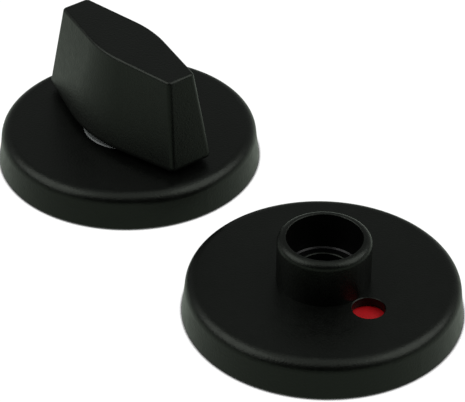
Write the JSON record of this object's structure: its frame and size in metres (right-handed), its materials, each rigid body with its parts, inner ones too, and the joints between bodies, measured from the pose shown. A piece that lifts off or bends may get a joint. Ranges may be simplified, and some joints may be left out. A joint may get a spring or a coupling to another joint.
{
  "type": "bathroom thumb turn lock",
  "caption": "Bathroom privacy lock set in two halves: a round rose with a wedge thumb turn, and a round rose with a collared coin release and an indicator window.",
  "frame": {"origin": "on the door's face, midway between the axes of the two halves as they stand side by side", "axes": "+Z away from the door along both shafts, +X from the thumb-turn half to the release half"},
  "size_m": [0.1146, 0.052, 0.0269],
  "materials": {
    "black_coat": "satin black powder coat on zinc",
    "black_nylon": "moulded, matt",
    "grey_nylon": "natural grey nylon",
    "spring_steel": "phosphated spring steel",
    "zinc_plated_steel": "bright zinc plate",
    "indicator_red": "satin red",
    "indicator_white": "satin white",
    "insert_brass": "turned"
  },
  "bodies": {
    "base": {"turn_rose": "black_coat", "turn_base_plate": "black_nylon", "turn_snap_ring": "spring_steel", "turn_bush": "grey_nylon", "turn_spring_washer": "spring_steel", "release_rose": "black_coat", "release_base_plate": "black_nylon", "release_snap_ring": "spring_steel", "release_bush": "black_nylon", "release_spring_washer": "spring_steel", "threaded_inserts": "insert_brass"},
    "turn": {"thumb_turn": "black_coat", "turn_stop_plate": "zinc_plated_steel", "turn_retaining_ring": "spring_steel"},
    "release": {"release_rotor": "black_coat", "indicator_disc": "black_nylon", "red_sector": "indicator_red", "white_sector": "indicator_white", "release_thrust_washer": "zinc_plated_steel", "release_retaining_ring": "spring_steel"}
  },
  "joints": [
    {"name": "thumb_turn_spin", "type": "hinge", "parent": "base", "child": "turn", "pos_m": [-0.0313, 0, 0.0085], "axis": [0, 0, 1], "range_deg": [0, 90]},
    {"name": "release_spin", "type": "hinge", "parent": "base", "child": "release", "pos_m": [0.0313, 0, 0.0085], "axis": [0, 0, 1], "range_deg": [0, 90]}
  ]
}
